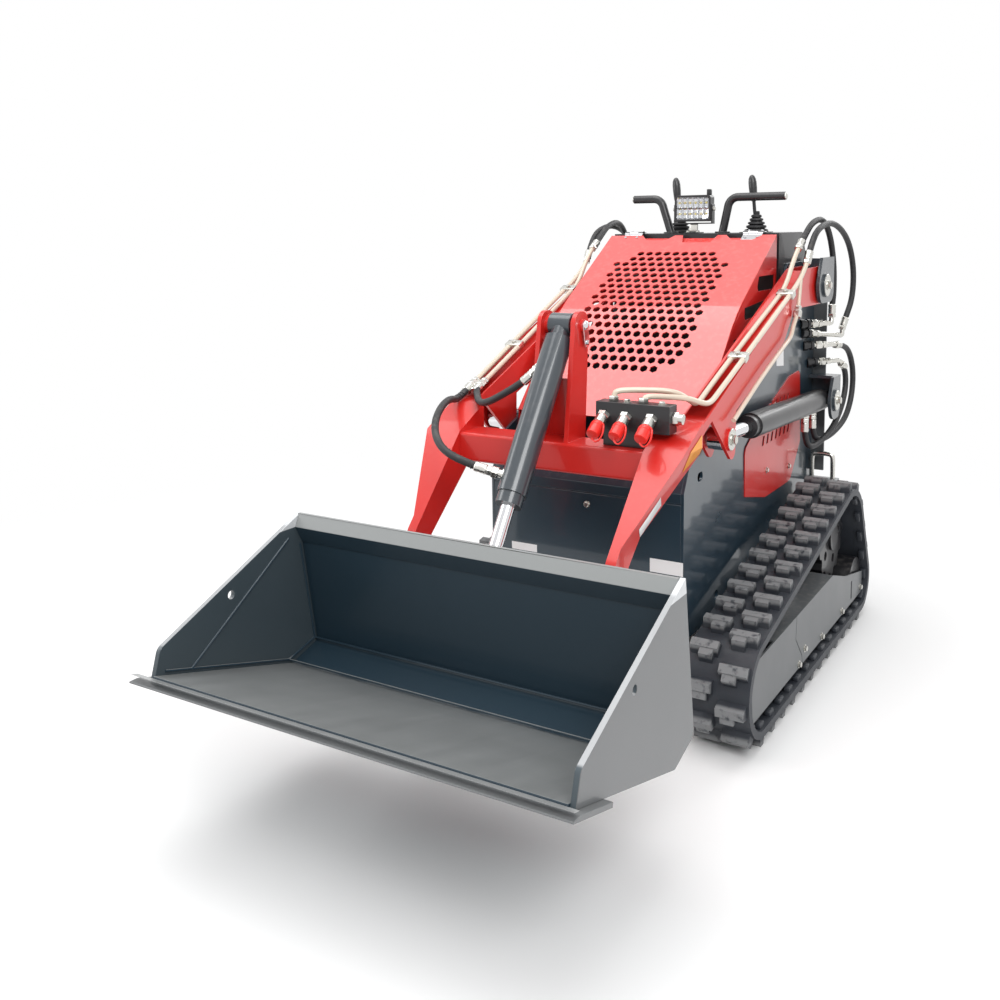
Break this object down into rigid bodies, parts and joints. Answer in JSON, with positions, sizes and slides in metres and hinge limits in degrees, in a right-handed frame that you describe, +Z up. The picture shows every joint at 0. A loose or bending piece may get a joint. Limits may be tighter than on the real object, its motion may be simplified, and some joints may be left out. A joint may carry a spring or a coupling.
{
  "type": "tracked stand-on skid steer loader",
  "caption": "Compact stand-on loader on rubber tracks, with lift arms, a wide bucket, hydraulic cylinders and a perforated sloping hood.",
  "frame": {"origin": "on the ground under the middle of the machine's overall length and width", "axes": "+X to the machine's left, +Y to its rear, +Z up; the bucket is at -Y"},
  "size_m": [1.0556, 2.36, 1.4696],
  "materials": {
    "black_paint": "satin black paint",
    "chrome_rod": "hard chrome, polished",
    "dark_red_paint": "gloss red paint, shaded",
    "engine_iron": "cast iron",
    "grey_paint": "satin grey paint",
    "lamp_body": "black anodised",
    "navy_paint": "satin dark blue paint",
    "plated_steel": "zinc plated",
    "red_paint": "gloss red paint",
    "rubber": "moulded rubber",
    "track_rubber": "moulded track rubber"
  },
  "bodies": {
    "chassis": {"belly_plate": "black_paint", "body_side_left": "navy_paint", "body_side_right": "navy_paint", "console": "black_paint", "engine_block": "engine_iron", "front_fascia": "navy_paint", "handles": "black_paint", "hood_sides": "dark_red_paint", "joysticks": "rubber", "rear_bracket_left": "black_paint", "rear_bracket_right": "black_paint", "rear_plate": "grey_paint", "running_gear_left": "black_paint", "running_gear_right": "black_paint", "side_panels": "red_paint", "stand_platform": "black_paint", "track_frame_left": "black_paint", "track_frame_right": "black_paint", "track_guard_left": "grey_paint", "track_guard_right": "grey_paint", "track_left": "track_rubber", "track_right": "track_rubber", "work_lamp": "lamp_body"},
    "hood": {"hood": "red_paint"},
    "arms": {"arm_left": "red_paint", "arm_right": "red_paint", "cross_member": "red_paint", "coupler_block": "black_paint", "arm_tubes": "plated_steel"},
    "bucket": {"bucket_shell": "navy_paint", "bucket_side_left": "grey_paint", "bucket_side_right": "grey_paint", "cutting_edge": "grey_paint", "quick_attach": "black_paint"},
    "lift_barrel_left": {"lift_barrel_left": "black_paint"},
    "lift_barrel_right": {"lift_barrel_right": "black_paint"},
    "lift_rod_left": {"lift_rod_left": "chrome_rod"},
    "lift_rod_right": {"lift_rod_right": "chrome_rod"},
    "tilt_barrel": {"tilt_barrel": "black_paint"},
    "tilt_rod": {"tilt_rod": "chrome_rod"}
  },
  "joints": [
    {"name": "arm_lift", "type": "hinge", "parent": "chassis", "child": "arms", "pos_m": [0, 0.826, 1.118], "axis": [-1, 0, 0], "range_deg": [-9, 65]},
    {"name": "bucket_tilt", "type": "hinge", "parent": "arms", "child": "bucket", "pos_m": [0, -0.53, 0.395], "axis": [1, 0, 0], "range_deg": [-8, 75]},
    {"name": "hood_hinge", "type": "hinge", "parent": "chassis", "child": "hood", "pos_m": [0, 0.653, 1.283], "axis": [-1, 0, 0], "range_deg": [0, 55]},
    {"name": "tilt_barrel_swing", "type": "hinge", "parent": "arms", "child": "tilt_barrel", "pos_m": [0, -0.22, 1.068], "axis": [1, 0, 0], "range_deg": [-2.35, 0.34]},
    {"name": "tilt_rod_slide", "type": "slide", "parent": "tilt_barrel", "child": "tilt_rod", "axis": [0, -0.5692, -0.8222], "range_m": [-0.0214, 0.1968]},
    {"name": "lift_barrel_left_swing", "type": "hinge", "parent": "chassis", "child": "lift_barrel_left", "pos_m": [0.3295, 0.986, 0.727], "axis": [-1, 0, 0], "range_deg": [-7, 49.27]},
    {"name": "lift_rod_left_slide", "type": "slide", "parent": "lift_barrel_left", "child": "lift_rod_left", "axis": [0, -0.9991, 0.0425], "range_m": [-0.0466, 0.33]},
    {"name": "lift_barrel_right_swing", "type": "hinge", "parent": "chassis", "child": "lift_barrel_right", "pos_m": [-0.3295, 0.986, 0.727], "axis": [-1, 0, 0], "range_deg": [-7, 49.27]},
    {"name": "lift_rod_right_slide", "type": "slide", "parent": "lift_barrel_right", "child": "lift_rod_right", "axis": [0, -0.9991, 0.0425], "range_m": [-0.0466, 0.33]}
  ],
  "couplings": [
    {"joint": "tilt_barrel_swing", "follows": "bucket_tilt", "ratio": -0.03},
    {"joint": "tilt_rod_slide", "follows": "bucket_tilt", "m_per_rad": 0.15},
    {"joint": "lift_barrel_left_swing", "follows": "arm_lift", "ratio": 0.755},
    {"joint": "lift_rod_left_slide", "follows": "arm_lift", "m_per_rad": 0.29},
    {"joint": "lift_barrel_right_swing", "follows": "arm_lift", "ratio": 0.755},
    {"joint": "lift_rod_right_slide", "follows": "arm_lift", "m_per_rad": 0.29}
  ]
}
